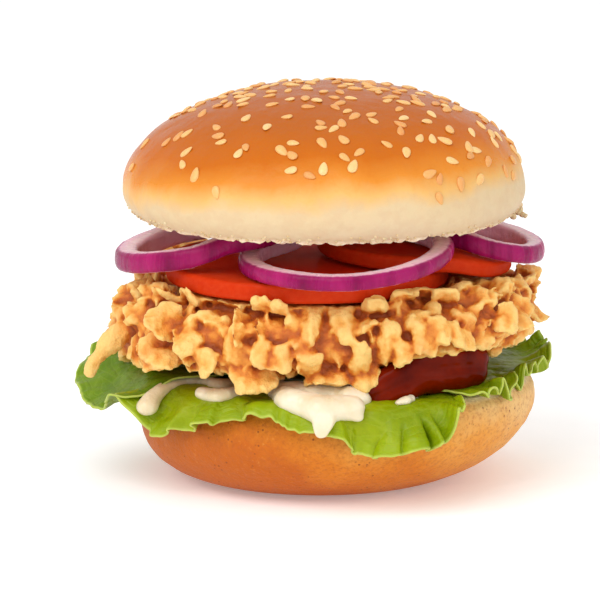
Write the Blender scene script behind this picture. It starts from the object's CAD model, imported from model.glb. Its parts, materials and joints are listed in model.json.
import json
import math
import random

import bpy
import numpy as np
from mathutils import Matrix, Vector, noise
from mathutils.bvhtree import BVHTree

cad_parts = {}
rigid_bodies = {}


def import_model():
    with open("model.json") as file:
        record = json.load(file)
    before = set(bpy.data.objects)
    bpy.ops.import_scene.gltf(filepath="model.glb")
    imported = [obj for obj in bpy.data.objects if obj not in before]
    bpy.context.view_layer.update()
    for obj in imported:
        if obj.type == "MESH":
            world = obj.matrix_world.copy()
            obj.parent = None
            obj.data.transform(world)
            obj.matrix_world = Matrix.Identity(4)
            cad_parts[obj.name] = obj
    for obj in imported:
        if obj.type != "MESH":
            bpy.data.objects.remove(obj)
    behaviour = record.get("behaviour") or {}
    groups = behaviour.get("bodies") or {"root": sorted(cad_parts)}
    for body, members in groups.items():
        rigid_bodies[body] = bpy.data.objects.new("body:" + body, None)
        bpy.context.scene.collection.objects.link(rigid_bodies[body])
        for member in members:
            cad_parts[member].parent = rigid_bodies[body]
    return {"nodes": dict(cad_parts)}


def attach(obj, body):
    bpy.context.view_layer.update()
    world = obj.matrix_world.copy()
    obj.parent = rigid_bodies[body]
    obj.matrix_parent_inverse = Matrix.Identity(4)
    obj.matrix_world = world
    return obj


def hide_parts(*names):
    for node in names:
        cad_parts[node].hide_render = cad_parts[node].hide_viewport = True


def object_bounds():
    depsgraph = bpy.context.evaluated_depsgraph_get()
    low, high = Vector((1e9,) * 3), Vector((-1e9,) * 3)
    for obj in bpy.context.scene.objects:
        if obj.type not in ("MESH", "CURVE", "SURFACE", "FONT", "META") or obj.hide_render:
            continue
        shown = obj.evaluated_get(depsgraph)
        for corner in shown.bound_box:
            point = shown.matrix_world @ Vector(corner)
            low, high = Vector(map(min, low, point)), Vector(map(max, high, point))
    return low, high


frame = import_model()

cad_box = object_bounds()

# Studio: the burger stands on white paper under a large soft window light from the upper
# left, with an even white fill all round. A long lens looks at it a little from above.
CAMERA_RISE = math.radians(10.5)
CAMERA_DISTANCE = 1.5
FORWARD = Vector((0.0, math.cos(CAMERA_RISE), -math.sin(CAMERA_RISE)))
SCREEN_UP = Vector((0.0, math.sin(CAMERA_RISE), math.cos(CAMERA_RISE)))
VIEW_WIDTH = 0.1622
VIEW_MIDDLE = Vector((-0.0062, 0.0, 0.0473))
SENSOR = 36.0


def srgb(red, green, blue):
    """A display colour, from 0 to 255, as the linear values that the shaders take."""
    shares = [c / 255.0 for c in (red, green, blue)]
    return tuple(s / 12.92 if s < 0.04045 else ((s + 0.055) / 1.055) ** 2.4 for s in shares) + (1.0,)


def add_node(mat, kind, ins=None, **settings):
    """A shader node. A value in ins is set on the socket, and a socket in ins is linked to it."""
    made = mat.node_tree.nodes.new("ShaderNode" + kind)
    for key, value in settings.items():
        setattr(made, key, value)
    for key, value in (ins or {}).items():
        if isinstance(value, bpy.types.NodeSocket):
            mat.node_tree.links.new(value, made.inputs[key])
        else:
            made.inputs[key].default_value = value
    return made


def finish(name, **sockets):
    """A material and its surface shader, with these values on the shader's own sockets."""
    mat = bpy.data.materials.new(name)
    mat.use_nodes = True
    shader = mat.node_tree.nodes["Principled BSDF"]
    for key, value in sockets.items():
        shader.inputs[key.replace("_", " ")].default_value = value
    return mat, shader


def place(mat):
    return add_node(mat, "TexCoord").outputs["Object"]


def speckle(mat, scale, detail=3.0, rough=0.55, where=None):
    """Noise of about 1/scale metres, as a factor from 0 to 1."""
    return add_node(mat, "TexNoise", {
        "Vector": where or place(mat), "Scale": scale, "Detail": detail, "Roughness": rough}).outputs["Fac"]


def ramp(mat, factor, stops):
    """Colours along a factor. Each stop is its position and red, green, blue, or one grey."""
    made = add_node(mat, "ValToRGB", {"Fac": factor})
    bar = made.color_ramp.elements
    shades = [(position, srgb(*(shade if len(shade) == 3 else shade * 3))) for position, *shade in stops]
    bar[0].position, bar[0].color = shades[0]
    bar[1].position, bar[1].color = shades[-1]
    for position, colour in shades[1:-1]:
        bar.new(position).color = colour
    return made.outputs["Color"]


def blend(mat, factor, first, second, mode="MIX"):
    made = add_node(mat, "Mix", data_type="RGBA", blend_type=mode)
    for socket, value in ((made.inputs[0], factor), (made.inputs[6], first), (made.inputs[7], second)):
        if isinstance(value, bpy.types.NodeSocket):
            mat.node_tree.links.new(value, socket)
        else:
            socket.default_value = value
    return made.outputs[2]


def sums(mat, operation, *values):
    ins = dict(enumerate(values))
    return add_node(mat, "Math", ins, operation=operation).outputs[0]


def unsettle(mat, factor, spots, amount):
    """The factor, raised and lowered by spots, half the amount each way at most."""
    return sums(mat, "MULTIPLY_ADD", sums(mat, "SUBTRACT", spots, 0.5), amount, factor)


def attribute(mat, name):
    return add_node(mat, "Attribute", attribute_name=name).outputs["Fac"]


def connect(mat, shader, colour=None, rough=None, bumps=()):
    """Links colour, roughness and a chain of bumps, each (height, depth in metres)."""
    links = mat.node_tree.links
    if colour is not None:
        links.new(colour, shader.inputs["Base Color"])
    if rough is not None:
        links.new(rough, shader.inputs["Roughness"])
    normal = None
    for height, depth in bumps:
        ins = {"Height": height, "Distance": depth, "Strength": 1.0}
        if normal is not None:
            ins["Normal"] = normal
        normal = add_node(mat, "Bump", ins).outputs["Normal"]
    if normal is not None:
        links.new(normal, shader.inputs["Normal"])


def between(mat, factor, low, high):
    """The factor from 0 to 1, stretched to run from low to high."""
    return add_node(mat, "MapRange", {
        "Value": factor, "To Min": low, "To Max": high}).outputs[0]


bpy.ops.object.select_all(action="DESELECT")
bpy.ops.mesh.primitive_plane_add(size=8.0, location=(0.0, 0.0, -0.0002))
paper = bpy.context.object
paper.name = "paper"
paper_finish, paper_shader = finish("white_paper", Roughness=0.9, Emission_Strength=0.22)
paper_shader.inputs["Emission Color"].default_value = (1.0, 1.0, 1.0, 1.0)
paper_tone = ramp(paper_finish, speckle(paper_finish, 90.0), [(0.3, 245, 245, 244), (0.7, 250, 250, 249)])
connect(paper_finish, paper_shader, paper_tone, bumps=[(speckle(paper_finish, 900.0), 0.00005)])
paper.data.materials.append(paper_finish)

world = bpy.data.worlds.new("studio")
bpy.context.scene.world = world
world.use_nodes = True
sky = world.node_tree.nodes["Background"]
sky.inputs["Color"].default_value = (1.0, 1.0, 1.0, 1.0)
sky.inputs["Strength"].default_value = 0.80
bpy.context.scene.view_settings.view_transform = "Standard"


def area_light(name, place_at, aim, size, power):
    bpy.ops.object.light_add(type="AREA", location=place_at)
    light = bpy.context.object
    light.name = name
    light.rotation_euler = (Vector(aim) - Vector(place_at)).to_track_quat("-Z", "Y").to_euler()
    light.data.size = size
    light.data.energy = power


area_light("window", (-0.50, -0.70, 0.95), (0.0, 0.0, 0.06), 0.90, 8.0)
area_light("fill", (0.9, -0.8, 0.45), (0.0, 0.0, 0.05), 0.8, 2.0)

bpy.ops.object.camera_add(
    location=VIEW_MIDDLE + CAMERA_DISTANCE * Vector((0.0, -math.cos(CAMERA_RISE), math.sin(CAMERA_RISE))),
    rotation=(math.pi / 2.0 - CAMERA_RISE, 0.0, 0.0))
camera = bpy.context.object
camera.data.sensor_width = SENSOR
camera.data.lens = SENSOR * CAMERA_DISTANCE / VIEW_WIDTH
bpy.context.scene.camera = camera

# Lower bun: soft white bread with a thin golden crust, proved and baked on a tray, then cut
# level. It sits flat, leans a little to the right, and its crust is freckled with fine pores.
HEEL_TOP = 0.0280
HEEL_WIDEST = 0.0190
HEEL_RADIUS = 0.0530
HEEL_BASE = 0.0285
HEEL_POWER = 1.78
HEEL_EDGE = (0.0400, 0.0127, 44.0)
HEEL_MIDDLES = (-0.0010, 0.0061)
HEEL_LEAN_HEIGHTS = (0.0030, 0.0249)


def points(obj):
    """The places of a mesh's vertices, as an array."""
    place_of = np.empty(len(obj.data.vertices) * 3)
    obj.data.vertices.foreach_get("co", place_of)
    return place_of.reshape(-1, 3)


def set_points(obj, place_of):
    obj.data.vertices.foreach_set("co", np.asarray(place_of, dtype=float).ravel())
    obj.data.update()


def ease(low, high, value):
    """0 at low, 1 at high, with an easy start and end; for numbers and arrays."""
    share = np.clip((value - low) / (high - low), 0.0, 1.0)
    return share * share * (3.0 - 2.0 * share)


def wander(place_of, scale, seed):
    """Smooth noise from about -1 to 1 at each point."""
    shift = Vector((seed, -seed, 2.0 * seed))
    return np.array([noise.noise(Vector(p) / scale + shift) for p in place_of])


def modify(obj, kind, **settings):
    """Adds a modifier and applies it."""
    made = obj.modifiers.new(kind.lower(), kind)
    for key, value in settings.items():
        setattr(made, key, value)
    bpy.ops.object.select_all(action="DESELECT")
    obj.select_set(True)
    bpy.context.view_layer.objects.active = obj
    bpy.ops.object.modifier_apply(modifier=made.name)


def relief(obj, name, size, depth, kind="CLOUDS", group=""):
    """Raises and sinks the surface by a procedural texture, over a vertex group if one is named."""
    texture = bpy.data.textures.new(name, kind)
    texture.noise_scale = size
    modify(obj, "DISPLACE", texture=texture, strength=depth, mid_level=0.5, vertex_group=group,
           texture_coords="LOCAL")


def weigh(obj, name, weights):
    """A vertex group with these weights."""
    group = obj.vertex_groups.new(name=name)
    for index, weight in enumerate(weights):
        if weight > 0.0:
            group.add([index], float(weight), "REPLACE")


def keep_value(obj, name, values):
    """Stores a value at each vertex for the material to read."""
    layer = obj.data.attributes.new(name, "FLOAT", "POINT")
    layer.data.foreach_set("value", np.asarray(values, dtype=np.float32))


def give(obj, mat, slot, *nodes):
    """Ends a piece: its material, body, slot and the solids that it stands for."""
    set_points(obj, np.clip(points(obj), cad_box[0], cad_box[1]))
    obj.data.materials.clear()
    obj.data.materials.append(mat)
    obj.data.shade_smooth()
    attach(obj, "root")
    if nodes:
        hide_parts(*nodes)


def ball(name, segments, rings, radius=1.0):
    bpy.ops.object.select_all(action="DESELECT")
    bpy.ops.mesh.primitive_uv_sphere_add(segments=segments, ring_count=rings, radius=radius)
    bpy.context.object.name = name
    return bpy.context.object


def round_ball(name, segments, rings):
    """A ball, with each vertex's direction round it and its level above the middle in degrees."""
    made = ball(name, segments, rings)
    x, y, z = points(made).T
    return made, np.arctan2(y, x), np.degrees(np.arcsin(np.clip(z, -1.0, 1.0)))


heel, turn, level = round_ball("heel_crust", 320, 130)
edge_middle, edge_rise, edge_angle = HEEL_EDGE
up = np.radians(np.clip(level, 0.0, edge_angle))
down = np.radians(np.clip(-level, 0.0, 90.0))
side_r = edge_middle + (HEEL_RADIUS - edge_middle) * np.cos(up)
side_z = HEEL_WIDEST + edge_rise * np.sin(up)
top_r = side_r * np.clip((90.0 - level) / (90.0 - edge_angle), 0.0, 1.0)
low_r = HEEL_BASE + (HEEL_RADIUS - HEEL_BASE) * np.cos(down) ** (2.0 / HEEL_POWER)
low_z = HEEL_WIDEST - HEEL_WIDEST * np.sin(down) ** (2.0 / HEEL_POWER)
flat_share = np.clip((np.degrees(down) - 82.0) / 8.0, 0.0, 1.0)
low_r = low_r * (1.0 - flat_share)
low_z = low_z * (1.0 - np.clip(4.0 * flat_share, 0.0, 1.0))
r = np.where(level > edge_angle, top_r, np.where(level > 0.0, side_r, low_r))
z = np.where(level > edge_angle + 1.0, HEEL_TOP, np.where(level > 0.0, side_z, low_z))
heel_points = np.stack([r * np.cos(turn), r * np.sin(turn), z], axis=1)
swell = 1.0 + 0.022 * wander(heel_points, 0.035, 3.1) * ease(0.0, 0.006, z)
heel_points[:, 0] = heel_points[:, 0] * swell + np.interp(z, HEEL_LEAN_HEIGHTS, HEEL_MIDDLES)
heel_points[:, 1] *= swell
set_points(heel, heel_points)
weigh(heel, "skin", ease(0.001, 0.006, z) * (1.0 - 0.7 * ease(0.0270, 0.0279, z)))
relief(heel, "dimples", 0.007, 0.00050, group="skin")
relief(heel, "blisters", 0.0028, 0.00018, group="skin")

heel_finish, heel_shader = finish("baked_crust", Specular_IOR_Level=0.25, Subsurface_Weight=0.06,
                                  Subsurface_Scale=0.004)
spot = place(heel_finish)
height = add_node(heel_finish, "SeparateXYZ", {"Vector": spot})
sunny = sums(heel_finish, "MULTIPLY_ADD", height.outputs["X"], 9.0, -0.12)
tall = sums(heel_finish, "MULTIPLY_ADD", height.outputs["Z"], 26.0, sunny)
bake = unsettle(heel_finish, tall, speckle(heel_finish, 70.0, 4.0), 0.9)
crust = ramp(heel_finish, bake, [
    (0.0, 196, 98, 8), (0.30, 217, 125, 24), (0.62, 231, 157, 62), (1.0, 238, 192, 122)])
grain = speckle(heel_finish, 900.0, 5.0, 0.7)
crust = blend(heel_finish, ramp(heel_finish, grain, [(0.36, 190), (0.52, 0)]),
              crust, srgb(180, 90, 22))
crust = blend(heel_finish, ramp(heel_finish, grain, [(0.60, 0), (0.74, 150)]),
              crust, srgb(240, 186, 104))
cells = add_node(heel_finish, "TexVoronoi", {"Vector": spot, "Scale": 620.0, "Randomness": 1.0})
pits = ramp(heel_finish, cells.outputs["Distance"], [(0.10, 255), (0.24, 0)])
few = ramp(heel_finish, speckle(heel_finish, 150.0), [(0.50, 0), (0.60, 255)])
crust = blend(heel_finish, blend(heel_finish, 1.0, pits, few, "MULTIPLY"), crust, srgb(140, 62, 16))
rim = add_node(heel_finish, "MapRange", {
    "Value": height.outputs["Z"], "From Min": 0.0262, "From Max": 0.0281}).outputs[0]
crust = blend(heel_finish, rim, crust, srgb(250, 228, 190))
connect(heel_finish, heel_shader, crust, between(heel_finish, grain, 0.42, 0.66), [
    (speckle(heel_finish, 260.0, 4.0), 0.0006), (grain, 0.0004)])
give(heel, heel_finish, "bun_crust", "heel")

# Lettuce: three thin leaves of loose-leaf lettuce, one above the other. The front one hangs
# over the bun, the left one lies out flat, the right one is crimped along its whole edge.
# Directions run round the bun in degrees, with 0 to the right and 270 to the front.
LEAF_CENTRE = 0.0061
LEAF_BRIM = 0.0494
LEAF_HIDDEN = 0.0350
LEAF_FADE = 13.0
LEAF_LEVELLING = 9.0
LEAF_SHEET = 0.00055
LEAF_INNER = 0.28
LEAVES = {
    "lettuce_front": dict(level=0.0287, facing=252.5, spread=47.5, reach=0.0632, droop=72, bend=0.0085,
                          lift=0.0014, starts=0.0080, lobes=(4.5, 205, 0.0050),
                          waves=((11, 6, 0.0014), (29, 1.5, 0.0009)),
                          frill=0.0030, frill_from=0.0060, sink=(0.0016, 225, 207), trim=0.0026, seed=0.4,
                          crimps=7.5, ruffle=1.0, tone=0.0),
    "lettuce_right": dict(level=0.0299, facing=2, spread=54, reach=0.0545, droop=4, bend=0.0060,
                          lift=0.0036, starts=0.0005, lobes=(6, 10, 0.0028),
                          waves=((3.5, 8, 0.0030), (17, 20, 0.0018)),
                          frill=0.0032, frill_from=0.0010, sink=(0.0, 0, 1), trim=0.0, seed=1.9,
                          crimps=11.0, ruffle=0.0, tone=0.35),
    "lettuce_left": dict(level=0.0311, facing=171, spread=33, reach=0.0722, droop=24, bend=0.0150,
                         lift=0.0016, starts=0.0046, lobes=(7, 182, 0.0030),
                         waves=((3, 150, 0.0046), (15, 195, 0.0013)),
                         frill=0.0016, frill_from=0.0120, sink=(0.0042, 172, 200), trim=0.0, seed=0.9,
                         crimps=7.5, ruffle=0.0, tone=0.75),
}


def within(values, low, high, soft=0.0020):
    """Values eased so that they stay between two limits."""
    low, high = low + soft, high - soft
    values = np.where(values < low, low - soft * np.tanh((low - values) / soft), values)
    return np.where(values > high, high + soft * np.tanh((values - high) / soft), values)


def ring_noise(turn, fineness, seed):
    """Noise that runs round a circle, from about -1 to 1."""
    shift = Vector((0.0, 0.0, seed))
    ring = [Vector((math.cos(t), math.sin(t), 0.0)) * fineness + shift for t in turn]
    return np.array([noise.noise(spot) for spot in ring]) * 1.7


def ripple(wave, around):
    """A wave along an edge: its count round the circle, a direction of a peak, its size."""
    count, peak, size = wave
    return size * np.cos(count * np.radians((around - peak + 180.0) % 360.0 - 180.0))


def leaf_points(leaf, around, share):
    """Where a leaf lies for directions in degrees and shares of its length, both arrays."""
    off = np.abs((around - leaf["facing"] + 180.0) % 360.0 - 180.0)
    window = 1.0 - ease(leaf["spread"], leaf["spread"] + LEAF_FADE, off)
    freedom = 1.0 - ease(leaf["spread"] - LEAF_LEVELLING, leaf["spread"] + 1.0, off)
    turn = np.radians(around)
    seed = leaf["seed"]
    tooth, small = ring_noise(turn, 10.0, seed), ring_noise(turn, 36.0, seed + 3.0)
    fold, pleat = ring_noise(turn, leaf["crimps"], seed + 7.0), ring_noise(turn, 19.0, seed + 11.0)
    ruffle = leaf["ruffle"] * ease(276.0, 290.0, around)
    fold = fold + ruffle * (ring_noise(turn, 25.0, seed + 29.0) + 0.45)
    reach = LEAF_HIDDEN + (leaf["reach"] + ripple(leaf["lobes"], around) - LEAF_HIDDEN) * window
    reach = reach + (0.0011 * tooth + 0.0004 * small - 0.0008) * window
    reach = reach - leaf["trim"] * window * ease(262.0, 288.0, around)
    run = reach * share
    droop = np.radians(leaf["droop"]) * freedom + 1e-6
    curl = leaf["bend"] / droop
    past = np.maximum(0.0, run - LEAF_BRIM)
    tilt = np.minimum(droop, past / curl)
    straight = np.maximum(0.0, past - leaf["bend"])
    r = np.minimum(run, LEAF_BRIM) + curl * np.sin(tilt) + straight * np.cos(tilt)
    z = leaf["level"] - curl * (1.0 - np.cos(tilt)) - straight * np.sin(tilt)
    broad, tight = leaf["waves"]
    wave = leaf["lift"] + ripple(broad, around) + ripple(tight, around) * ease(0.052, 0.062, run)
    starts = LEAF_BRIM + leaf["starts"]
    lift = wave * freedom * ease(starts, starts + 0.012, run)
    near = 1.0 - np.clip((reach - run) / 0.0100, 0.0, 1.0)
    edge = ease(0.0, 1.0, near) * window * (0.35 + 0.65 * freedom)
    edge = edge * ease(LEAF_BRIM + leaf["frill_from"] - 0.006, LEAF_BRIM + leaf["frill_from"], run)
    frill = leaf["frill"] * edge
    lift = lift + frill * (1.0 + 0.5 * ruffle) * (1.05 * np.tanh(2.2 * fold) + 0.40 * edge * pleat)
    slow, quick = ring_noise(turn, 8.0, seed + 19.0), ring_noise(turn, 20.0, seed + 23.0)
    slide = frill * (0.9 * slow + 0.35 * edge * quick)
    sink, sink_from, sink_full = leaf["sink"]
    sink = sink * ease(sink_from, sink_full, around)
    lift = lift - sink * ease(LEAF_BRIM + 0.002, LEAF_BRIM + 0.014, run)
    r = r + lift * np.sin(tilt)
    z = z + lift * np.cos(tilt)
    x = LEAF_CENTRE + r * np.cos(turn) - slide * np.sin(turn)
    y = r * np.sin(turn) + slide * np.cos(turn)
    x = within(x, cad_box[0][0] + LEAF_SHEET, cad_box[1][0] - LEAF_SHEET)
    y = within(y, cad_box[0][1] + LEAF_SHEET, cad_box[1][1] - LEAF_SHEET)
    return np.stack([x, y, z], axis=1), edge, run


def leaf_finish(name, tone):
    """Green blade, paler veins and a pale crimped edge; tone 0 is bright, 1 is dark."""
    mat, shader = finish(name, Subsurface_Weight=0.25, Subsurface_Scale=0.0020, Specular_IOR_Level=0.2)
    shader.inputs["Subsurface Radius"].default_value = (0.6, 1.0, 0.1)
    patch = speckle(mat, 60.0, 3.0)
    bright = ramp(mat, patch, [(0.3, 118, 140, 0), (0.7, 156, 168, 0)])
    deep = ramp(mat, patch, [(0.3, 68, 106, 4), (0.7, 104, 139, 10)])
    colour = blend(mat, tone, bright, deep)
    uv = add_node(mat, "UVMap").outputs["UV"]
    veins = add_node(mat, "TexVoronoi", {"Vector": uv, "Scale": 14.0}, feature="DISTANCE_TO_EDGE")
    vein = ramp(mat, veins.outputs["Distance"], [(0.0, 120), (0.07, 0)])
    colour = blend(mat, vein, colour, blend(mat, 0.5, colour, srgb(190, 204, 90)))
    colour = blend(mat, sums(mat, "MULTIPLY", attribute(mat, "edge"), 0.25), colour, srgb(150, 178, 18))
    rim_line = ramp(mat, attribute(mat, "rim"), [(0.984, 0), (0.996, 200)])
    colour = blend(mat, rim_line, colour, srgb(206, 216, 110))
    connect(mat, shader, colour, between(mat, speckle(mat, 300.0), 0.28, 0.48), [
        (veins.outputs["Distance"], 0.0005), (speckle(mat, 420.0, 4.0), 0.0004)])
    return mat


def make_leaf(name):
    leaf = LEAVES[name]
    bpy.ops.object.select_all(action="DESELECT")
    columns, rows = 420, 64
    bpy.ops.mesh.primitive_grid_add(x_subdivisions=columns, y_subdivisions=rows, size=1.0)
    sheet = bpy.context.object
    sheet.name = name + "_leaf"
    flat = points(sheet)
    half = leaf["spread"] + LEAF_FADE
    around = leaf["facing"] + 2.0 * flat[:, 0] * half
    share = LEAF_INNER + (1.0 - LEAF_INNER) * (1.0 - (0.5 - flat[:, 1]) ** 1.35)
    laid, edge, run = leaf_points(leaf, around, share)
    set_points(sheet, laid)
    keep_value(sheet, "edge", edge)
    keep_value(sheet, "rim", np.clip((share - LEAF_INNER) / (1.0 - LEAF_INNER), 0.0, 1.0))
    bpy.ops.object.mode_set(mode="EDIT")
    bpy.ops.mesh.select_all(action="SELECT")
    bpy.ops.mesh.normals_make_consistent(inside=False)
    bpy.ops.object.mode_set(mode="OBJECT")
    relief(sheet, name + "_crinkle", 0.0060, 0.0012)
    modify(sheet, "SOLIDIFY", thickness=LEAF_SHEET, offset=0.0)
    give(sheet, leaf_finish(name + "_green", leaf["tone"]), "lettuce", name)
    return sheet


leaves = {name: make_leaf(name) for name in LEAVES}

# Breaded chicken: a fillet dredged in seasoned flour and deep fried, so its crust stands out in
# curled flakes and knobs. It is wider than the bun and its left tip hangs down.
FILLET_MIDDLE = np.array([0.0010, -0.0020, 0.0442])
FILLET_CORE = np.array([0.0545, 0.0458, 0.0108])
FLAKES = 560
TOMATOES = {
    "tomato_lower": ((-0.0046, -0.0080, 0.0552), 0.0380, 0.0049, (-0.012, 0.020)),
    "tomato_upper": ((0.0250, -0.0020, 0.0605), 0.0262, 0.0042, (-0.035, 0.028)),
}
TOMATO_SAG = 0.0030
FILLET_VOXEL = 0.00055
FILLET_FACES = 185000
POCKET_FACING, POCKET_SPREAD, POCKET_LIFT = 302.0, 21.0, 0.0068


def fillet_core(turn, level):
    """A rounded slab that leans up to the right."""
    plan, side = 2.5, 3.0
    ring = abs(math.cos(level)) ** (2.0 / side)
    x = FILLET_CORE[0] * ring * math.copysign(abs(math.cos(turn)) ** (2.0 / plan), math.cos(turn))
    y = FILLET_CORE[1] * ring * math.copysign(abs(math.sin(turn)) ** (2.0 / plan), math.sin(turn))
    z = FILLET_CORE[2] * math.copysign(abs(math.sin(level)) ** (2.0 / side), math.sin(level))
    thinner = 1.0 - 0.16 * float(ease(0.030, 0.056, abs(x)))
    z = z * thinner + 0.030 * x - 0.0060 * float(ease(0.036, 0.060, -x))
    return Vector(FILLET_MIDDLE) + Vector((x, y, z))


def pocket(x, y):
    """How far the crust is lifted where the brown sauce lies under it."""
    around = np.degrees(np.arctan2(y, x - LEAF_CENTRE))
    off = np.abs((around - POCKET_FACING + 180.0) % 360.0 - 180.0)
    inside = 1.0 - ease(POCKET_SPREAD * 0.55, POCKET_SPREAD * 1.2, off)
    return POCKET_LIFT * inside * ease(0.033, 0.045, np.hypot(x - LEAF_CENTRE, y))


def append_mesh(parts, verts, faces):
    """Adds a closed shape to a growing list of vertices and faces."""
    start = len(parts[0])
    parts[0].extend(verts)
    parts[1].extend([tuple(start + i for i in face) for face in faces])


def built(name, parts):
    mesh = bpy.data.meshes.new(name)
    mesh.from_pydata([tuple(p) for p in parts[0]], [], parts[1])
    mesh.update()
    obj = bpy.data.objects.new(name, mesh)
    bpy.context.scene.collection.objects.link(obj)
    return obj


def pattern(segments, rings, radius=1.0):
    """The points and faces of a ball that isn't kept itself."""
    made = ball("pattern", segments, rings, radius)
    kept = points(made), [tuple(face.vertices) for face in made.data.polygons]
    bpy.data.objects.remove(made)
    return kept


knob_points, knob_faces = pattern(26, 12)


def flake(draw, length, width, thick, curl, cup, crimp):
    """One flake that grows along +Y from its root, curls towards +Z, and is cupped across."""
    u, v, w = knob_points.T
    around = np.arctan2(u, v)
    phase = draw.uniform(0.0, 6.28)
    square = (np.abs(np.cos(around)) ** 3.2 + np.abs(np.sin(around)) ** 3.2) ** (-1.0 / 3.2)
    notches = 0.10 * np.sin(3.0 * around + phase) + 0.06 * np.sin(7.0 * around + 2.0 * phase)
    ragged = square * (1.0 + notches) + 0.05 * np.sin(11.0 * around + 3.0 * phase)
    u, v = u * ragged, v * ragged
    along = (v + 1.0) * 0.5
    bent = curl * along
    y = length * np.sin(bent) / curl
    z = length * (1.0 - np.cos(bent)) / curl
    z = z + cup * width * u ** 2 + np.sign(w) * np.abs(w) ** 0.6 * thick * (0.8 + 0.4 * along)
    z = z + crimp * np.sin(6.0 * u + phase) * along
    z = z + 0.7 * crimp * np.sin(8.0 * along + 2.0 * phase) * np.abs(u)
    return np.stack([u * width, y, z], axis=1)


def fillet_surface(turn, level):
    """The core's surface at a direction, with its outward direction."""
    here = fillet_core(turn, level)
    beside = fillet_core(turn + 0.02, level) - here
    above = fillet_core(turn, level + 0.02) - here
    return here, beside.cross(above).normalized()


def add_flake(shape, here, outward, roll, peel, sunk, back):
    """Sets a flake on the crust: roll turns it from hanging down, peel lifts its free end."""
    upward = (Vector((0.0, 0.0, 1.0)) - outward * outward.z).normalized()
    grow = (-upward * math.cos(roll) + outward.cross(upward) * math.sin(roll)).normalized()
    lie = (outward * math.cos(peel) - grow * math.sin(peel)).normalized()
    grow = (grow * math.cos(peel) + outward * math.sin(peel)).normalized()
    root = here - outward * sunk - grow * back
    turned = shape @ np.array([grow.cross(lie), grow, lie])
    append_mesh(crust_parts, turned + np.array(root), knob_faces)


# The largest folds of the crust's front, as it is seen there: middle across and up, length and
# half width in millimetres, roll in degrees, curl, peel and half thickness in millimetres.
FOLDS = [
    (-48.6, 47.8, 12, 5, 50, 0.9, 0.1, 1.5), (-43.8, 37, 15, 5, 8, -0.7, 0.1, 1.6),
    (-51.6, 27.5, 8, 3.6, -12, 0.6, 0.1, 1.5), (-39.5, 44, 12, 3.4, -20, 1.2, 0.35, 1.5),
    (-46, 29, 7, 4.4, 6, 0.7, 0.2, 1.5), (-34.6, 35.3, 8, 3.4, 20, 0.8, 0.2, 2.2),
    (-30, 32, 8, 3.2, -25, 0.8, 0.25, 2), (-34, 44.5, 9, 4, 14, 1.1, 0.3, 1.6),
    (-27.5, 44, 10, 6, 8, 1.4, 0.4, 1.6), (-20.5, 43.5, 10, 3.4, -12, 1, 0.3, 1.7),
    (-23, 34.5, 13, 3, 3, -0.8, 0.15, 1.8), (-20.5, 26.5, 11, 3.4, -8, 0.6, 0.08, 1.9),
    (-15.5, 42.5, 11, 2.8, -6, 0.9, 0.25, 1.7), (-16, 33, 8, 2.6, 8, 0.7, 0.2, 1.8),
    (-15.5, 26.5, 9, 2.4, 10, 0.6, 0.1, 1.7), (-10.8, 42.3, 11, 3, 4, 0.7, 0.15, 1.8),
    (-6.5, 43.5, 8.5, 2.2, -6, 0.8, 0.2, 1.7), (-11, 32, 8, 3, 0, 0.6, 0.1, 1.9),
    (-3, 41.5, 15, 2.9, 3, -0.5, 0.1, 2), (-3.4, 30, 14, 3.2, -3, -0.5, 0.05, 1.9),
    (5, 41.5, 15, 3.4, -14, -0.6, 0.12, 2.1), (9.6, 31, 14, 3, 6, -0.5, 0.08, 2),
    (0.8, 26.2, 7, 6.2, 0, 0.6, 0.35, 1.4), (13.2, 43, 10, 3.6, -4, 0.6, 0.3, 2.4),
    (11.4, 28, 12, 3.2, 5, -0.5, 0.1, 1.9), (17, 36, 13, 2.8, 9, -0.7, 0.12, 1.8),
    (20.5, 45, 9, 3.8, -18, 0.9, 0.3, 1.7), (26, 46, 8, 3, 12, 1.1, 0.3, 1.6),
    (24.5, 37, 10, 2.2, 4, 0.5, 0.1, 1.6), (31.5, 44.8, 9, 3.6, 14, 1.3, 0.35, 2),
    (33.5, 38, 8, 2, -8, 0.5, 0.1, 1.5), (29.5, 39, 9, 2.4, -14, 0.6, 0.15, 1.7),
    (39.5, 45.5, 11, 4, 22, -0.9, 0.2, 1.7), (36, 47, 8, 3, -10, 1.2, 0.3, 1.6),
    (46, 46.5, 8, 3.4, -24, 1.1, 0.25, 1.6), (49, 41.5, 9, 3.6, -15, 0.9, 0.25, 1.5),
    (52.5, 49, 7, 3, 20, 0.8, 0.2, 1.5), (56, 42, 10, 3.2, 10, 0.8, 0.15, 1.5),
    (-55, 33, 8, 3, 10, 0.6, 0.1, 1.5), (-18.4, 24.2, 9, 3, 10, 0.5, 0.05, 2),
    (11, 24.5, 8, 4, -4, 0.4, 0.0, 2), (20.5, 33, 9, 2.6, -8, 0.5, 0.05, 1.8),
    (27, 36, 8, 2.4, 10, 0.5, 0.05, 1.6), (36.5, 36.5, 7, 2.2, -6, 0.5, 0.05, 1.6),
    (-22.6, 26.2, 6.5, 2, -14, 0.6, 0.1, 1.5), (-14.2, 25, 6.5, 2.2, -16, 0.6, 0.1, 1.7),
]
FOLD_ASIDE = 0.0025
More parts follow.
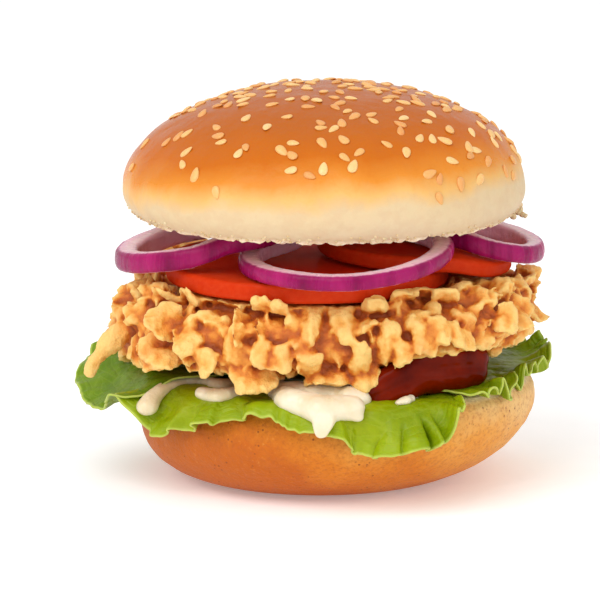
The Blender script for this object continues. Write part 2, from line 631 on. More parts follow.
# Thick crags of crust, at the ends and at the back left: middle and radius in millimetres.
LUMPS = [
    (-47, -12, 51.5, 4.2), (-50.5, -11, 49, 4.4), (-52, -14, 45.5, 4.4), (-53, -10, 42, 4.2),
    (-44, -22, 51.5, 4.2), (-47.5, -22, 47, 4.5), (-43, 31, 53, 4.6), (-38, 37, 53.3, 4.6),
    (-33, 40, 53.6, 4.6), (-27, 42, 53.6, 4.6), (-46, 24, 51.5, 4.4), (-46, 4, 51, 4.4),
    (41, -31, 53.6, 3.8), (47, -23, 53.4, 3.8), (52, -15, 52.4, 3.8), (50, -24, 50, 3.8),
    (54, 2, 52.4, 3.6),
]
# Heights of the crust's lower edge along the front, from left to right, in millimetres.
HEM_X = (-60, -51, -46, -40, -28, -24, -19, -15, -10, -5, 5, 9, 13, 16, 20, 25, 40, 46, 60)
HEM_Z = (31, 32.4, 35.2, 35.4, 35, 31, 29.4, 30, 33.6, 34.2,
         33.6, 30.4, 30.6, 35.4, 39.4, 41, 41.4, 38, 38)
# Heights in metres: the underside over the leaves, and under the front edge, and the highest tops.
CRUST_UNDER, CRUST_LIP, CRUST_TOP = 0.0334, 0.0302, 0.0577
# The left onion ring, which presses the crust down: middle, inner and outer radius, underside.
LEFT_RING = (-0.0315, -0.0080, 0.0180, 0.0262, 0.0564)

crust_parts = ([], [])
ball_points, core_faces = pattern(72, 24)
core_points = [fillet_core(math.atan2(y, x), math.asin(max(-1.0, min(1.0, z)))) for x, y, z in ball_points]
append_mesh(crust_parts, core_points, core_faces)
draw = random.Random(21)
for index in range(FLAKES):
    turn = math.tau * ((index * 0.754878) % 1.0) + draw.uniform(-0.1, 0.1)
    level = math.radians(-64.0 + 134.0 * ((index * 0.569840) % 1.0))
    here, outward = fillet_surface(turn, level)
    size = draw.uniform(0.65, 0.95) if index % 3 else draw.uniform(0.95, 1.30)
    kind = draw.random()
    if kind < 0.32:
        curl, cup = draw.uniform(0.7, 2.3), draw.uniform(-0.5, 0.3)
        shape = flake(draw, 0.0062 * size, 0.0042 * size, 0.00125, curl, cup, 0.0005 * size)
        roll = draw.choice((-1.5, 1.5)) + draw.gauss(0.0, 0.5)
        peel = draw.uniform(0.1, 0.8)
    elif kind < 0.62:
        curl = draw.uniform(0.3, 1.3) * draw.choice((-1, -1, 1))
        cup = draw.uniform(-0.6, 0.2)
        shape = flake(draw, 0.0085 * size, 0.0032 * size, 0.0015, curl, cup, 0.0005 * size)
        roll = draw.gauss(0.0, 0.6)
        peel = draw.uniform(-0.15, 0.3)
    else:
        shape = flake(draw, 0.0050 * size, 0.0030 * size, 0.0024 * size, 0.5, 0.0, 0.0004)
        roll = draw.gauss(0.0, 1.0)
        peel = draw.uniform(-0.1, 0.4)
    add_flake(shape, here, outward, roll, peel, draw.uniform(0.0004, 0.0018), size * 0.0030)
core_tree = BVHTree.FromPolygons(core_points, core_faces)
for x, rise, length, width, roll, curl, peel, thick in FOLDS:
    start = Vector((x, 0.0, 0.0)) / 1000.0 + SCREEN_UP * rise / 1000.0 - FORWARD
    here, outward, _, _ = core_tree.ray_cast(start, FORWARD)
    if here is None:
        near = core_tree.find_nearest(start + FORWARD * 0.95)[0]
        aside = start + FORWARD * (near - start).dot(FORWARD) - near
        here = near + aside * min(1.0, FOLD_ASIDE / max(aside.length, 1e-6))
        outward = -FORWARD
    shape = flake(draw, length / 1000.0, width / 1000.0, thick / 1000.0, curl, -0.2, width / 9000.0)
    add_flake(shape, here, outward, math.radians(roll), peel, -0.0020, 0.45 * length / 1000.0)
for x, y, z, size in LUMPS:
    middle = Vector((x, y, z)) / 1000.0
    uneven = 0.78 + 0.30 * wander(knob_points, 0.7, x + y)[:, None]
    append_mesh(crust_parts, knob_points * uneven * size / 1000.0 + np.array(middle), knob_faces)
    for _ in range(8):
        outward = Vector((middle.x, middle.y, 0.0)).normalized() * 0.6
        stray = Vector((draw.uniform(-1, 1), draw.uniform(-1, 1), draw.uniform(-0.6, 1)))
        outward = (outward + stray).normalized()
        long, wide = draw.uniform(0.0040, 0.0062), draw.uniform(0.0020, 0.0034)
        thick = draw.uniform(0.0010, 0.0017)
        curl, cup = draw.uniform(0.5, 1.6), draw.uniform(-0.5, 0.2)
        shape = flake(draw, long, wide, thick, curl, cup, 0.0005)
        roll, peel = draw.uniform(-1.6, 1.6), draw.uniform(0.0, 0.5)
        add_flake(shape, middle + outward * size * 0.00072, outward, roll, peel, 0.0006, 0.0026)

# The finger of crust that hangs at the far left: its root, its reach and how that bends.
FINGER_ROOT = np.array([-0.0500, -0.0180, 0.0425])
FINGER_REACH = np.array([-0.0122, -0.0040, -0.0100])
FINGER_BEND = np.array([0.8, 1.0, 1.7])
for step in range(9):
    share = step / 8.0
    middle = FINGER_ROOT + FINGER_REACH * share ** FINGER_BEND
    width = 0.0030 - 0.0013 * share + 0.0004 * math.sin(5.0 * step)
    append_mesh(crust_parts, knob_points * np.array([width, width, width * 1.3]) + middle, knob_faces)


def under_slice(name, x, y):
    """The height of a tomato slice's underside, and how far outside its rim each place lies."""
    (middle_x, middle_y, under), radius, _, (slope_x, slope_y) = TOMATOES[name]
    height = under + slope_x * (x - middle_x) + slope_y * (y - middle_y)
    return height, np.hypot(x - middle_x, y - middle_y) - radius


# The crust is pressed between what lies under it and on it, and is ragged where it is free.
fillet = built("fried_crust", crust_parts)
crust_points = points(fillet)
x, y, z = crust_points.T
floor = CRUST_UNDER + pocket(x, y)
inside = 1.0 - ease(0.045, 0.050, np.hypot(x - LEAF_CENTRE, y))
low = floor * inside + np.minimum(floor, CRUST_LIP + 0.8 * (floor - CRUST_UNDER)) * (1.0 - inside)
low = low + 0.0022 * ease(0.020, 0.052, x)
hem = np.interp(x * 1000.0, HEM_X, HEM_Z) / 1000.0 + 0.0018 * wander(crust_points, 0.0036, 6.0)
low = low + (np.maximum(low, hem) - low) * (1.0 - inside) * ease(0.008, 0.018, -y)
lower_under, beyond = under_slice("tomato_lower", x, y)
uneven = np.maximum(0.0, wander(crust_points, 0.0038, 2.0) + 0.2)
high = lower_under - 0.0009 + 0.0046 * ease(0.0004, 0.0022, beyond)
high = np.minimum(high, CRUST_TOP) - 0.0034 * uneven * ease(0.001, 0.006, beyond)
upper_under, beyond_upper = under_slice("tomato_upper", x, y)
upper_under = upper_under - TOMATO_SAG * ease(0.0030, 0.0160, beyond) - 0.0006
high = np.where(beyond_upper < 0.001, np.minimum(high, upper_under), high)
ring_x, ring_y, ring_in, ring_out, ring_under = LEFT_RING
from_ring = np.hypot(x - ring_x, y - ring_y)
high = np.where((from_ring > ring_in) & (from_ring < ring_out), np.minimum(high, ring_under), high)
crust_points[:, 2] = np.minimum(np.maximum(z, low), high)
set_points(fillet, crust_points)
modify(fillet, "REMESH", mode="VOXEL", voxel_size=FILLET_VOXEL)
modify(fillet, "SMOOTH", factor=0.5, iterations=3)
relief(fillet, "nuggets", 0.0046, -0.0008, kind="VORONOI")
relief(fillet, "crumbly", 0.0018, -0.00050, kind="VORONOI")
relief(fillet, "crisp", 0.0009, 0.00035)

# Bits that hang on nothing are taken away.
bpy.ops.object.mode_set(mode="EDIT")
bpy.ops.mesh.select_all(action="DESELECT")
bpy.ops.object.mode_set(mode="OBJECT")
fillet.data.vertices[int(np.argmin(points(fillet)[:, 1]))].select = True
bpy.ops.object.mode_set(mode="EDIT")
bpy.ops.mesh.select_linked()
bpy.ops.mesh.select_all(action="INVERT")
bpy.ops.mesh.delete(type="VERT")
bpy.ops.object.mode_set(mode="OBJECT")
faces_now = len(fillet.data.polygons) * 2
if faces_now > FILLET_FACES:
    modify(fillet, "DECIMATE", ratio=FILLET_FACES / faces_now)


def hollow_value(obj, rounds):
    """How sunken each vertex is against its smoothed surroundings, in metres."""
    mesh = obj.data
    here = points(obj)
    ends = np.empty(len(mesh.edges) * 2, dtype=np.int64)
    mesh.edges.foreach_get("vertices", ends)
    ends = ends.reshape(-1, 2)
    count = np.zeros(len(here))
    np.add.at(count, ends[:, 0], 1.0)
    np.add.at(count, ends[:, 1], 1.0)
    smooth_place = here.copy()
    for _ in range(rounds):
        total = np.zeros_like(here)
        for axis in range(3):
            total[:, axis] += np.bincount(ends[:, 0], smooth_place[ends[:, 1], axis], len(here))
            total[:, axis] += np.bincount(ends[:, 1], smooth_place[ends[:, 0], axis], len(here))
        smooth_place = total / count[:, None]
    normals = np.empty(len(here) * 3)
    mesh.vertex_normals.foreach_get("vector", normals)
    return np.einsum("ij,ij->i", smooth_place - here, normals.reshape(-1, 3))


HOLLOW_DEPTH = 0.0021
hollow = hollow_value(fillet, 26)
keep_value(fillet, "hollow", np.clip(0.5 + hollow / HOLLOW_DEPTH, 0.0, 1.0))

fried, fried_shader = finish("fried_breading", Subsurface_Weight=0.10, Subsurface_Scale=0.003)
depth = unsettle(fried, attribute(fried, "hollow"), speckle(fried, 160.0, 3.0), 0.28)
batter = ramp(fried, depth, [
    (0.10, 247, 202, 118), (0.34, 241, 176, 82), (0.50, 226, 140, 42),
    (0.66, 198, 100, 17), (0.90, 152, 66, 8)])
toasted = ramp(fried, speckle(fried, 85.0, 2.0), [(0.56, 0), (0.72, 150)])
batter = blend(fried, toasted, batter, srgb(212, 108, 34))
pepper = add_node(fried, "TexVoronoi", {"Vector": place(fried), "Scale": 330.0})
pepper = ramp(fried, pepper.outputs["Distance"], [(0.035, 140), (0.075, 0)])
batter = blend(fried, pepper, batter, srgb(120, 62, 22))
connect(fried, fried_shader, batter, between(fried, speckle(fried, 500.0), 0.44, 0.66), [
    (speckle(fried, 420.0, 3.0, 0.6), 0.0007), (speckle(fried, 1100.0, 5.0, 0.65), 0.0004)])
give(fillet, fried, "breading", "chicken_fillet")

# Sauces: a cream mayonnaise that runs out over the front leaf in a thick bead and a puddle, and a
# dark, glossy barbecue-style sauce in the hollow under the fillet at the front right.


def surface_tree(*objects):
    """One search tree over the surfaces of several meshes."""
    verts, faces = [], []
    for obj in objects:
        start = len(verts)
        verts.extend(tuple(p) for p in points(obj))
        faces.extend(tuple(start + i for i in face.vertices) for face in obj.data.polygons)
    return BVHTree.FromPolygons(verts, faces)


def seen_from_front(tree, x, rise):
    """The point of a surface that shows at this place of the front view, in metres."""
    return tree.ray_cast(Vector((x, 0.0, 0.0)) + SCREEN_UP * rise - FORWARD, FORWARD)[0]


SAUCE_VOXEL = 0.0005


def pour(name, blobs, rounds):
    """Drops, as (centre, radii) pairs, melted into one smooth body."""
    parts = ([], [])
    for centre, radii in blobs:
        append_mesh(parts, knob_points * np.array(radii) + np.array(centre), knob_faces)
    made = built(name, parts)
    modify(made, "REMESH", mode="VOXEL", voxel_size=SAUCE_VOXEL)
    modify(made, "SMOOTH", factor=0.5, iterations=rounds)
    return made


leaf_tree = surface_tree(*leaves.values())
# Strokes of sauce, as seen from the front: across, up and radius in millimetres.
MAYONNAISE_STROKES = [
    [(-22.4, 23.6, 2.6), (-26.5, 23.4, 2.4), (-31.9, 24.6, 2), (-37.3, 24.6, 2), (-41.9, 23.4, 2.2),
     (-45.2, 20.6, 2.6), (-46.8, 17.8, 3.1)],
    [(-32, 21.6, 2.4), (-28, 20.8, 2.7), (-23.5, 21.6, 2.5), (-20, 23, 2)],
    [(-15.7, 28, 2.2), (-13.5, 24, 3), (-9, 19.8, 4.2), (-1, 17.6, 4.7), (7, 18, 4)],
    [(-11, 21.5, 4), (-3.5, 21, 4.6), (4.5, 20.8, 4.4), (9, 20, 3.6)],
    [(0.4, 16.5, 3.6), (-0.2, 13.6, 2.9), (-0.6, 11.6, 1.9)],
    [(4.5, 17.5, 3.6), (7.4, 16.8, 2.7), (8.8, 15.8, 1.9)],
    [(19.6, 19.4, 1.2), (21.8, 20, 1.6), (24.2, 20.9, 1.3)],
]


def drops(strokes):
    """Drops about a millimetre apart along all the strokes, in metres."""
    return np.array([drop for stroke in strokes for drop in along(stroke, 1.0)]) / 1000.0


def along(path, spacing):
    """The same path with more drops, evenly spaced."""
    more = []
    for first, second in zip(path, path[1:]):
        steps = max(1, int(math.hypot(second[0] - first[0], second[1] - first[1]) / spacing))
        more += [tuple(a + (b - a) * i / steps for a, b in zip(first, second)) for i in range(steps)]
    return more + [path[-1]]


blobs = []
for x, rise, size in drops(MAYONNAISE_STROKES):
    on = seen_from_front(leaf_tree, x, rise)
    if on is not None:
        middle = on - FORWARD * size * 0.35 + Vector((0.0, 0.0, size * 0.1))
        blobs.append((middle, (size, size, size * 0.8)))
mayonnaise = pour("mayonnaise_run", blobs, 14)
relief(mayonnaise, "dollops", 0.006, 0.0006)
cream, cream_shader = finish("mayonnaise_cream", Subsurface_Weight=0.25, Subsurface_Scale=0.003,
                             Specular_IOR_Level=0.5)
cream_shader.inputs["Subsurface Radius"].default_value = (1.0, 0.8, 0.5)
smear = speckle(cream, 120.0, 3.0)
connect(cream, cream_shader, ramp(cream, smear, [(0.35, 226, 208, 170), (0.65, 238, 226, 200)]),
        between(cream, smear, 0.22, 0.36), [(speckle(cream, 350.0, 3.0), 0.0004)])
give(mayonnaise, cream, "mayonnaise", "mayonnaise")

BROWN_REACH = 0.0480
BROWN_STROKES = [
    [(24, 30.5, 4.6), (30, 32, 5.2), (36, 32, 5), (39.5, 31, 4.2)],
    [(22.5, 26.5, 4.4), (28, 26.5, 5), (34, 27, 5.2), (39, 27.5, 4.4)],
    [(25, 25.5, 4.2), (20.5, 23, 3.6), (16.5, 21, 2.9), (14, 20, 2.3)],
    [(24, 30, 3.6), (19, 27, 3.4), (15, 24.6, 3), (12, 22.6, 2.2)],
]
blobs = []
for x, rise, size in drops(BROWN_STROKES):
    out = BROWN_REACH - size * 0.9
    y = -math.sqrt(max(1e-6, out * out - (x - LEAF_CENTRE) ** 2))
    z = (rise - math.sin(CAMERA_RISE) * y) / math.cos(CAMERA_RISE)
    blobs.append((Vector((x, y, z)), (size * 1.1, size, size)))
brown_sauce = pour("brown_sauce_pool", blobs, 16)
glaze, glaze_shader = finish("brown_sauce_gloss", Coat_Weight=0.07, Coat_Roughness=0.06,
                             Specular_IOR_Level=0.04)
connect(glaze, glaze_shader, ramp(glaze, speckle(glaze, 110.0, 3.0), [(0.3, 84, 10, 0), (0.7, 128, 28, 0)]),
        between(glaze, speckle(glaze, 200.0), 0.14, 0.28), [(speckle(glaze, 160.0, 2.0), 0.0002)])
give(brown_sauce, glaze, "brown_sauce", "brown_sauce")

# Tomato: two slices of a ripe tomato, cut across, with a thin glossy skin round the rim. The
# smaller slice lies on the right half of the larger one. Their sizes stand above, where the
# crust is pressed down by them.


def tomato_finish(name, centre, radius):
    mat, shader = finish(name, Subsurface_Weight=0.15, Subsurface_Scale=0.004, Specular_IOR_Level=0.0,
                         Coat_Weight=0.08, Coat_Roughness=0.25)
    shader.inputs["Subsurface Radius"].default_value = (1.0, 0.25, 0.1)
    shift = (-centre[0], -centre[1], 0.0)
    spot = add_node(mat, "Mapping", {"Vector": place(mat), "Location": shift}).outputs[0]
    flat = add_node(mat, "VectorMath", {0: spot, 1: (1.0, 1.0, 0.0)}, operation="MULTIPLY").outputs[0]
    out = add_node(mat, "VectorMath", {0: flat}, operation="LENGTH").outputs["Value"]
    out = unsettle(mat, sums(mat, "DIVIDE", out, radius), speckle(mat, 90.0), 0.10)
    flesh = ramp(mat, out, [
        (0.0, 228, 62, 22), (0.42, 224, 38, 8), (0.70, 222, 38, 6),
        (0.84, 210, 50, 8), (0.95, 200, 46, 6), (1.0, 194, 40, 2)])
    fibre = speckle(mat, 700.0, 4.0)
    flesh = blend(mat, between(mat, fibre, 0.0, 0.25), flesh, srgb(240, 110, 60))
    connect(mat, shader, flesh, between(mat, speckle(mat, 300.0), 0.30, 0.46), [(fibre, 0.0002)])
    return mat


def choose(obj, kind, test):
    """Goes into edit mode with only the edges or faces selected that pass the test."""
    bpy.ops.object.mode_set(mode="EDIT")
    bpy.ops.mesh.select_mode(type=kind)
    bpy.ops.mesh.select_all(action="DESELECT")
    bpy.ops.object.mode_set(mode="OBJECT")
    for element in obj.data.edges if kind == "EDGE" else obj.data.polygons:
        element.select = test(element)
    bpy.ops.object.mode_set(mode="EDIT")


def make_tomato(name):
    (cx, cy, z), radius, thick, (slope_x, slope_y) = TOMATOES[name]
    bpy.ops.object.select_all(action="DESELECT")
    bpy.ops.mesh.primitive_cylinder_add(vertices=160, radius=radius, depth=thick, end_fill_type="NGON")
    tomato = bpy.context.object
    tomato.name = name + "_slice"
    corners = tomato.data.vertices
    choose(tomato, "EDGE", lambda line: abs(np.ptp([corners[i].co.z for i in line.vertices])) < 1e-6)
    bpy.ops.mesh.bevel(offset=0.0011, segments=5)
    bpy.ops.object.mode_set(mode="OBJECT")
    choose(tomato, "FACE", lambda face: abs(face.normal.z) > 0.999)
    for inset in (0.0004, 0.0030, 0.0012, 0.0090, 0.0015, 0.0080):
        bpy.ops.mesh.inset(thickness=inset)
    bpy.ops.object.mode_set(mode="OBJECT")
    co = points(tomato)
    turn = np.arctan2(co[:, 1], co[:, 0])
    out = np.hypot(co[:, 0], co[:, 1]) / radius
    lobed = 1.0 + 0.014 * np.sin(3.0 * turn + radius * 900.0) + 0.006 * np.sin(5.0 * turn)
    lobed = np.where(out > 0.8, lobed, 1.0)
    x, y = co[:, 0] * lobed, co[:, 1] * lobed
    dent = 0.0005 * ease(0.55, 0.62, out) * (1.0 - ease(0.80, 0.88, out)) * (0.6 + 0.4 * np.sin(6.0 * turn))
    lay = z + thick / 2.0 + slope_x * x + slope_y * y
    if name == "tomato_upper":
        (under_x, under_y, _), under_radius, _, _ = TOMATOES["tomato_lower"]
        beyond = np.hypot(cx + x - under_x, cy + y - under_y) - under_radius
        lay = lay - TOMATO_SAG * ease(0.0030, 0.0160, beyond)
    set_points(tomato, np.stack([cx + x, cy + y, lay + co[:, 2] - np.sign(co[:, 2]) * dent], axis=1))
    relief(tomato, name + "_flesh", 0.010, 0.0004)
    give(tomato, tomato_finish(name + "_red", (cx, cy), radius), "tomato", name)


for name in TOMATOES:
    make_tomato(name)

# Onion: three raw rings cut straight through a red onion, each one layer thick. The skin side is
# purple with fine upright streaks, the cut faces are white tinged with pink.
# Each ring: middle, outer radius, width, thickness, and how far it is stretched each way.
ONIONS = {
    "onion_front": ((0.0060, -0.0280), 0.0284, 0.0052, 0.0041, (1.0, 1.0)),
    "onion_left": ((-0.0315, -0.0080), 0.0240, 0.0058, 0.0041, (1.0, 1.0)),
    "onion_right": ((0.0435, -0.0020), 0.0182, 0.0052, 0.0050, (0.86, 1.0)),
}
LEFT_ONION_EXTRA = 0.36


def onion_finish():
    mat, shader = finish("red_onion", Subsurface_Weight=0.15, Subsurface_Scale=0.002,
                         Specular_IOR_Level=0.15)
    uv = add_node(mat, "UVMap").outputs["UV"]
    stretched = add_node(mat, "Mapping", {"Vector": uv, "Scale": (1.0, 0.02, 1.0)}).outputs[0]
    streak = speckle(mat, 34.0, 4.0, 0.6, stretched)
    broad = speckle(mat, 12.0, 2.0, 0.5, stretched)
    skin = ramp(mat, sums(mat, "MULTIPLY_ADD", broad, 0.6, sums(mat, "MULTIPLY", streak, 0.4)), [
        (0.30, 96, 6, 50), (0.46, 140, 12, 80), (0.60, 170, 28, 100), (0.74, 204, 118, 152)])
    cut = ramp(mat, unsettle(mat, attribute(mat, "out"), speckle(mat, 600.0), 0.3), [
        (0.0, 226, 176, 196), (0.35, 238, 204, 208), (0.80, 232, 182, 200), (0.95, 176, 70, 130)])
    colour = blend(mat, attribute(mat, "skin"), cut, skin)
    connect(mat, shader, colour, between(mat, streak, 0.18, 0.36), [
        (streak, 0.0004), (speckle(mat, 900.0, 3.0), 0.0002)])
    return mat


def ring_bed(node, ring, steps=120):
    """The height of the underside of the solid ring, smoothed, at even steps round it."""
    (cx, cy), radius, width, _, (long, deep) = ring
    tree = surface_tree(frame["nodes"][node])
    beds = []
    for i in range(steps):
        turn = math.tau * i / steps
        middle = radius - width / 2.0
        x, y = cx + middle * math.cos(turn) * long, cy + middle * math.sin(turn) * deep
        hit = tree.ray_cast(Vector((x, y, 0.0)), Vector((0.0, 0.0, 1.0)))[0]
        beds.append(hit.z)
    beds = np.array(beds)
    for _ in range(6):
        beds = (np.roll(beds, 1) + 2.0 * beds + np.roll(beds, -1)) / 4.0
    return beds


onion_skin = onion_finish()


def make_onion(name):
    (cx, cy), radius, width, thick, (long, deep) = ONIONS[name]
    beds = ring_bed(name, ONIONS[name])
    middle = radius - width / 2.0
    bpy.ops.object.select_all(action="DESELECT")
    bpy.ops.mesh.primitive_torus_add(major_radius=middle, minor_radius=width / 2.0, major_segments=200,
                                     minor_segments=32, generate_uvs=True)
    ring = bpy.context.object
    ring.name = name + "_ring"
    co = points(ring)
    turn = np.arctan2(co[:, 1], co[:, 0])
    out = np.hypot(co[:, 0], co[:, 1]) - middle
    share = np.arctan2(co[:, 2], out)
    square = 1.0 / np.maximum(np.abs(np.cos(share)) ** 6 + np.abs(np.sin(share)) ** 6, 1e-9) ** (1.0 / 6.0)
    out = width / 2.0 * np.cos(share) * square
    high = thick / 2.0 * np.sin(share) * square
    bowed = 0.0005 * (1.0 - (high / (thick / 2.0)) ** 2) * np.sign(out)
    oval = 1.0 + 0.010 * np.sin(2.0 * turn + radius * 400.0) + 0.006 * np.sin(3.0 * turn)
    r = (middle + out + bowed * (out > 0)) * oval
    x, y = cx + r * np.cos(turn) * long, cy + r * np.sin(turn) * deep
    extra = 1.0 + (LEFT_ONION_EXTRA * ease(0.012, 0.032, -x) if name == "onion_left" else 0.0)
    bed = np.interp(turn % math.tau, np.linspace(0.0, math.tau, len(beds) + 1), np.append(beds, beds[0]))
    set_points(ring, np.stack([x, y, bed + (high + thick / 2.0) * extra], axis=1))
    keep_value(ring, "out", np.clip(out / width + 0.5, 0.0, 1.0))
    face = np.abs(high) / (thick / 2.0)
    keep_value(ring, "skin", ease(0.30, 0.48, out / width) * (1.0 - ease(0.90, 0.98, face)))
    relief(ring, name + "_cut", 0.0016, 0.00025)
    give(ring, onion_skin, "onion", name)


for name in ONIONS:
    make_onion(name)

# Upper bun: the same dough as the lower one, washed with egg so its top bakes brown and glossy,
# and paler down to the torn, crumbly edge where it was cut. Sesame seeds are baked on.
CROWN_CUT = 0.0713
CROWN_WIDEST = 0.0784
CROWN_RADIUS = 0.0540
CROWN_RISE = 0.0281
CROWN_POWER = 2.12
CROWN_FLANK = 0.0095

crown, turn, level = round_ball("crown_crust", 620, 156)
up = np.radians(np.clip(level, 0.0, 90.0))
down = np.radians(np.clip(-level, 0.0, 58.0))
drop = (CROWN_WIDEST - CROWN_CUT) / math.sin(math.radians(58.0))
dome_r = CROWN_RADIUS * np.cos(up) ** (2.0 / CROWN_POWER)
dome_z = CROWN_WIDEST + CROWN_RISE * np.sin(up) ** (2.0 / CROWN_POWER)
flank_r = CROWN_RADIUS - CROWN_FLANK + CROWN_FLANK * np.cos(down)
flank_z = CROWN_WIDEST - drop * np.sin(down)
cut_share = np.clip((-level - 58.0) / 32.0, 0.0, 1.0)
r = np.where(level > 0.0, dome_r, flank_r * (1.0 - cut_share))
z = np.where(level > 0.0, dome_z, flank_z)
crown_points = np.stack([r * np.cos(turn), r * np.sin(turn), z], axis=1)
swell = 1.0 + 0.022 * wander(crown_points, 0.040, 7.7)
rise = 0.0010 * wander(crown_points, 0.032, 1.3) * ease(CROWN_CUT, CROWN_WIDEST, z)
shoulder = ease(-0.010, 0.040, -crown_points[:, 0]) * ease(CROWN_WIDEST, CROWN_WIDEST + 0.012, z)
rise = rise - 0.0012 * shoulder
crown_points[:, 0] *= swell
crown_points[:, 1] *= swell
crown_points[:, 2] += rise
torn = ease(40.0, 56.0, -level) * (1.0 - ease(62.0, 74.0, -level))
ragged = wander(crown_points, 0.0030, 4.0) + 1.1 * wander(crown_points, 0.0016, 9.0)
crown_points[:, 2] += 0.0013 * torn * np.maximum(ragged, -0.30)
crown_points[:, :2] *= (1.0 + 0.010 * torn * ragged)[:, None]
set_points(crown, crown_points)
weigh(crown, "crust_area", ease(-50.0, -20.0, level))
weigh(crown, "crumb_area", ease(44.0, 60.0, -level))
relief(crown, "crown_dimples", 0.009, 0.0005, group="crust_area")
relief(crown, "crown_crumb", 0.0016, 0.0009, group="crumb_area")

glossy, glossy_shader = finish("egg_washed_crust", Coat_Weight=0.02, Coat_Roughness=0.3,
                               Specular_IOR_Level=0.10, Subsurface_Weight=0.05, Subsurface_Scale=0.004)
spot = add_node(glossy, "SeparateXYZ", {"Vector": place(glossy)})
lean = sums(glossy, "MULTIPLY", spot.outputs["X"], -0.060)
front = sums(glossy, "MULTIPLY_ADD", spot.outputs["Y"], 0.050, lean)
baked = sums(glossy, "ADD", spot.outputs["Z"], front)
baked = unsettle(glossy, baked, speckle(glossy, 60.0, 5.0, 0.6), 0.0105)
bake = add_node(glossy, "MapRange", {
    "Value": baked, "From Min": 0.0700, "From Max": 0.1060}).outputs[0]
crust = ramp(glossy, bake, [
    (0.0, 216, 193, 158), (0.21, 217, 191, 150), (0.32, 228, 177, 104),
    (0.42, 221, 138, 48), (0.58, 198, 104, 20), (0.80, 185, 96, 22), (1.0, 178, 91, 20)])
mottle = speckle(glossy, 240.0, 5.0, 0.6)
crust = blend(glossy, ramp(glossy, mottle, [(0.42, 110), (0.56, 0)]),
              crust, blend(glossy, 0.5, crust, srgb(176, 92, 44)))
under = add_node(glossy, "MapRange", {
    "Value": spot.outputs["Z"], "From Min": 0.0724, "From Max": 0.0714}).outputs[0]
crumb = ramp(glossy, speckle(glossy, 520.0, 5.0, 0.7), [(0.35, 226, 196, 150), (0.6, 250, 238, 212)])
crust = blend(glossy, under, crust, crumb)
shine = ramp(glossy, bake, [(0.12, 200), (0.45, 138)])
connect(glossy, glossy_shader, crust, shine, [(speckle(glossy, 180.0, 3.0), 0.0004), (mottle, 0.0002)])
give(crown, glossy, "bun_crust", "crown")

# Sesame seeds: hulled white seeds scattered on the wet egg wash before baking, thickest on top
# and thinning out towards the cut edge. They lie flat, half sunk in the glaze.
SEEDS = 228
SEED_SIZE = (0.0041, 0.0025, 0.0011)
SEED_SPACING = 0.0036

co, seed_faces = pattern(12, 8, 0.5)
taper = 1.0 - 0.62 * (co[:, 2] + 0.1)
seed_points = np.stack([co[:, 2], co[:, 0] * taper, co[:, 1] * taper], axis=1) * np.array(SEED_SIZE)


def scatter(name, copies, shape, faces):
    """One mesh of many copies, each (matrix, shade), with the shade kept for the material."""
    parts, shades = ([], []), []
    for where, shade in copies:
        turned = shape @ np.array(where.to_3x3()).T + np.array(where.translation)
        append_mesh(parts, turned, faces)
        shades += [shade] * len(shape)
    made = built(name, parts)
    keep_value(made, "shade", shades)
    return made


crown_tree = surface_tree(crown)
draw = random.Random(8)
copies, taken = [], []
while len(copies) < SEEDS:
    height, around = draw.uniform(0.0, 1.0), draw.uniform(0.0, math.tau)
    wanted = float(ease(0.02, 0.62, height)) * (0.70 + 0.30 * math.cos(around - 0.3)) + 0.03
    wanted = wanted + 0.30 * float(ease(0.75, 1.0, math.cos(around + 0.3)) * ease(0.05, 0.20, height))
    wanted = wanted + 0.16 * float(ease(0.80, 1.0, -math.cos(around - 0.4)) * ease(0.00, 0.10, height))
    if draw.random() > wanted:
        continue
    flat = math.sqrt(1.0 - height * height)
    direction = Vector((flat * math.cos(around), flat * math.sin(around), height * 0.75)).normalized()
    hit, normal, _, _ = crown_tree.ray_cast(Vector((0.0, 0.0, CROWN_WIDEST)), direction)
    if any((hit - other).length < SEED_SPACING * draw.uniform(0.55, 1.0) for other in taken):
        continue
    taken.append(hit)
    aim = normal.to_track_quat("Z", "X").to_matrix().to_4x4()
    spin = Matrix.Rotation(draw.uniform(0.0, math.tau), 4, "Z")
    tilt = Matrix.Rotation(draw.gauss(0.0, 0.10), 4, "Y")
    grown = Matrix.Scale(draw.uniform(0.82, 1.10), 4)
    copies.append((Matrix.Translation(hit + normal * 0.00012) @ aim @ spin @ tilt @ grown, draw.random()))
sesame = scatter("sesame_seeds", copies, seed_points, seed_faces)
hull, hull_shader = finish("sesame_hull", Subsurface_Weight=0.15, Subsurface_Scale=0.001)
tone = ramp(hull, attribute(hull, "shade"), [
    (0.0, 222, 152, 82), (0.4, 236, 182, 108), (1.0, 246, 208, 142)])
tone = blend(hull, between(hull, speckle(hull, 900.0), 0.0, 0.30), tone, srgb(222, 150, 80))
connect(hull, hull_shader, tone, between(hull, speckle(hull, 500.0), 0.30, 0.48),
        [(speckle(hull, 1500.0), 0.0001)])
give(sesame, hull, "bun_crust")

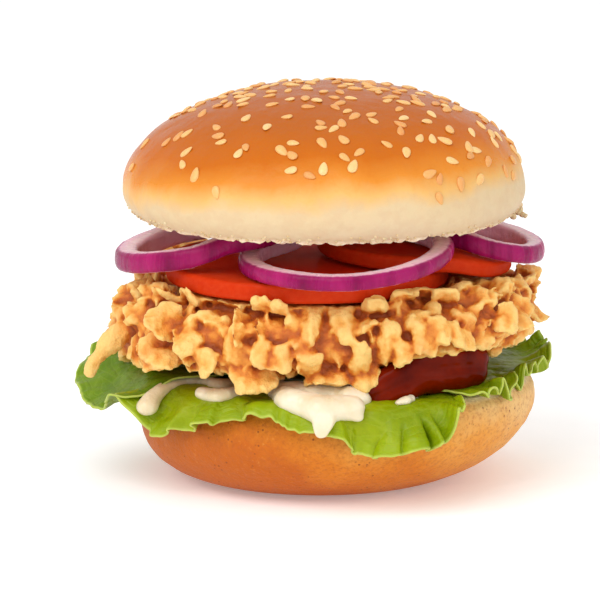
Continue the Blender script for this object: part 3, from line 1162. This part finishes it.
# Crumbs: bits of the soft white inside that tore loose when the bun was cut, still hanging from
# the cut edge of the upper bun, with the longest shreds at the far right and left.
CRUMBS = 420
# The longest shreds, as places in millimetres.
SHREDS = [
    (52.4, -1, 74.6), (52.9, -1.6, 73.6), (53.2, -2.2, 72.6), (52.6, -2.6, 71.8), (53.6, -2.8, 71.3),
    (54.4, -3, 70.9), (51.6, -4, 72.4), (51, -5, 71.2), (-49.6, -4, 73.4), (-49.2, -5, 72.2),
    (-48.2, -6, 71.2), (-50.6, -2, 74.6),
]


def add_crumb(where, smallest, largest):
    turned = Matrix.Rotation(draw.uniform(0.0, math.tau), 4, "Z")
    turned = turned @ Matrix.Rotation(draw.uniform(0.0, math.tau), 4, "X")
    grown = Matrix.Scale(draw.uniform(smallest, largest), 4)
    copies.append((Matrix.Translation(where) @ turned @ grown, draw.random()))


crumb_points, crumb_faces = pattern(9, 6)
crumb_points = crumb_points * (1.0 + 0.30 * wander(crumb_points, 0.8, 3.0))[:, None]
draw = random.Random(14)
copies = []
for shred in SHREDS:
    add_crumb(Vector(shred) / 1000.0, 0.0006, 0.0010)
while len(copies) < CRUMBS:
    around = draw.uniform(0.0, math.tau)
    direction = Vector((math.cos(around), math.sin(around), 0.0))
    height = CROWN_CUT + 0.0004 + abs(draw.gauss(0.0, 0.0009))
    hit = crown_tree.ray_cast(direction * 0.2 + Vector((0.0, 0.0, height)), -direction)[0]
    if hit is not None:
        add_crumb(hit, 0.00020, 0.00048)
crumbs = scatter("bread_crumbs", copies, crumb_points, crumb_faces)
soft, soft_shader = finish("bread_crumb", Subsurface_Weight=0.10, Subsurface_Scale=0.001,
                           Specular_IOR_Level=0.1)
soft_tone = ramp(soft, attribute(soft, "shade"), [(0.0, 212, 184, 140), (1.0, 228, 208, 172)])
soft_tone = blend(soft, between(soft, speckle(soft, 1200.0), 0.0, 0.3), soft_tone, srgb(222, 184, 130))
connect(soft, soft_shader, soft_tone, between(soft, speckle(soft, 700.0), 0.6, 0.9),
        [(speckle(soft, 1800.0), 0.0002)])
give(crumbs, soft, "bun_crust")
